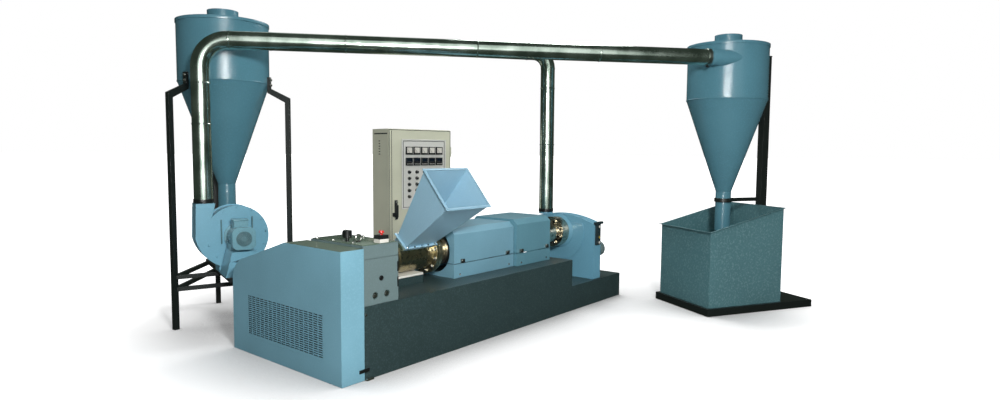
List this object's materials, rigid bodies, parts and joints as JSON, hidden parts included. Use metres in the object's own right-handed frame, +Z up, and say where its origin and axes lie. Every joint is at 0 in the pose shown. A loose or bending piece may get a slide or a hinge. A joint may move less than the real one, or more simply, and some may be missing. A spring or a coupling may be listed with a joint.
{
  "type": "plastic extruder line",
  "caption": "Plastic pelletizing extruder with feed hopper, heated barrel, die-face cutter, blower and bin cyclones, bright air ducts and a control cabinet.",
  "frame": {"origin": "on the floor, in the middle of the machine base under the barrel axis", "axes": "+X along the barrel towards the die, +Z up"},
  "size_m": [5.2955, 4.9289, 2.957],
  "materials": {
    "base_paint": "dark green-grey paint",
    "guard_paint": "teal-blue hammered paint",
    "gearbox_paint": "grey machine paint",
    "black_steel": "black",
    "pale_plastic": "off-white plastic",
    "dark_plastic": "black plastic",
    "red_plastic": "red",
    "motor_paint": "blue machine paint",
    "pale_paint": "off-white paint",
    "barrel_steel": "heat-darkened steel",
    "heater_steel": "steel",
    "hopper_paint": "blue paint",
    "cover_paint": "light blue paint",
    "latch_steel": "plated steel",
    "die_steel": "polished steel",
    "duct_steel": "bright steel",
    "stand_paint": "black paint",
    "cyclone_paint": "teal-blue hammered paint",
    "blower_paint": "light blue paint",
    "bin_paint": "blue-grey hammered paint",
    "plinth_paint": "dark grey",
    "cabinet_paint": "beige textured powder coat",
    "panel_paint": "pale grey"
  },
  "bodies": {
    "frame": {"machine_base": "base_paint", "belt_guard": "guard_paint", "vent_panel": "guard_paint", "gearbox": "gearbox_paint", "gearbox_fittings": "black_steel", "estop_box": "pale_plastic", "estop_cover": "dark_plastic", "estop_button": "red_plastic", "main_motor": "motor_paint", "motor_plinth": "base_paint", "feed_block": "base_paint", "feed_plate": "pale_paint", "barrel": "barrel_steel", "heater_bands": "heater_steel", "feed_throat": "hopper_paint", "feed_hopper": "hopper_paint", "long_tray": "cover_paint", "short_tray": "cover_paint", "die_head": "die_steel", "cutter_hood": "cover_paint", "cutter_collar": "cover_paint", "cutter_switches": "dark_plastic", "cutter_motor": "gearbox_paint", "suction_riser": "duct_steel", "suction_duct": "duct_steel", "delivery_riser": "duct_steel", "delivery_duct": "duct_steel", "duct_bands": "black_steel", "stand_legs": "stand_paint", "stand_rails": "stand_paint", "blower_deck": "stand_paint", "left_cyclone": "cyclone_paint", "left_roof": "cyclone_paint", "left_drop_pipe": "cyclone_paint", "blower_scroll": "blower_paint", "blower_motor": "blower_paint", "motor_pedestal": "blower_paint", "bin_skid": "stand_paint", "bin_floor": "bin_paint", "bin_low_wall": "bin_paint", "bin_high_wall": "bin_paint", "bin_side_walls": "bin_paint", "mast": "stand_paint", "mast_brackets": "stand_paint", "right_cyclone": "cyclone_paint", "right_roof": "cyclone_paint", "right_drop_pipe": "cyclone_paint", "cabinet_plinth": "plinth_paint", "cabinet_shell": "cabinet_paint"},
    "long_lid": {"long_lid": "cover_paint", "long_latches": "latch_steel"},
    "short_lid": {"short_lid": "cover_paint", "short_latches": "latch_steel"},
    "cabinet_door": {"cabinet_door": "cabinet_paint", "control_panel": "panel_paint", "panel_gauges": "dark_plastic", "panel_knobs": "dark_plastic", "door_handle": "dark_plastic"}
  },
  "joints": [
    {"name": "long_lid_hinge", "type": "hinge", "parent": "frame", "child": "long_lid", "pos_m": [-0.2575, 0.266, 0.655], "axis": [-1, 0, 0], "range_deg": [0, 90]},
    {"name": "short_lid_hinge", "type": "hinge", "parent": "frame", "child": "short_lid", "pos_m": [0.445, 0.301, 0.655], "axis": [-1, 0, 0], "range_deg": [0, 90]},
    {"name": "cabinet_door_hinge", "type": "hinge", "parent": "frame", "child": "cabinet_door", "pos_m": [1.29986, 1.68447, 1], "axis": [0, 0, 1], "range_deg": [0, 110]}
  ]
}
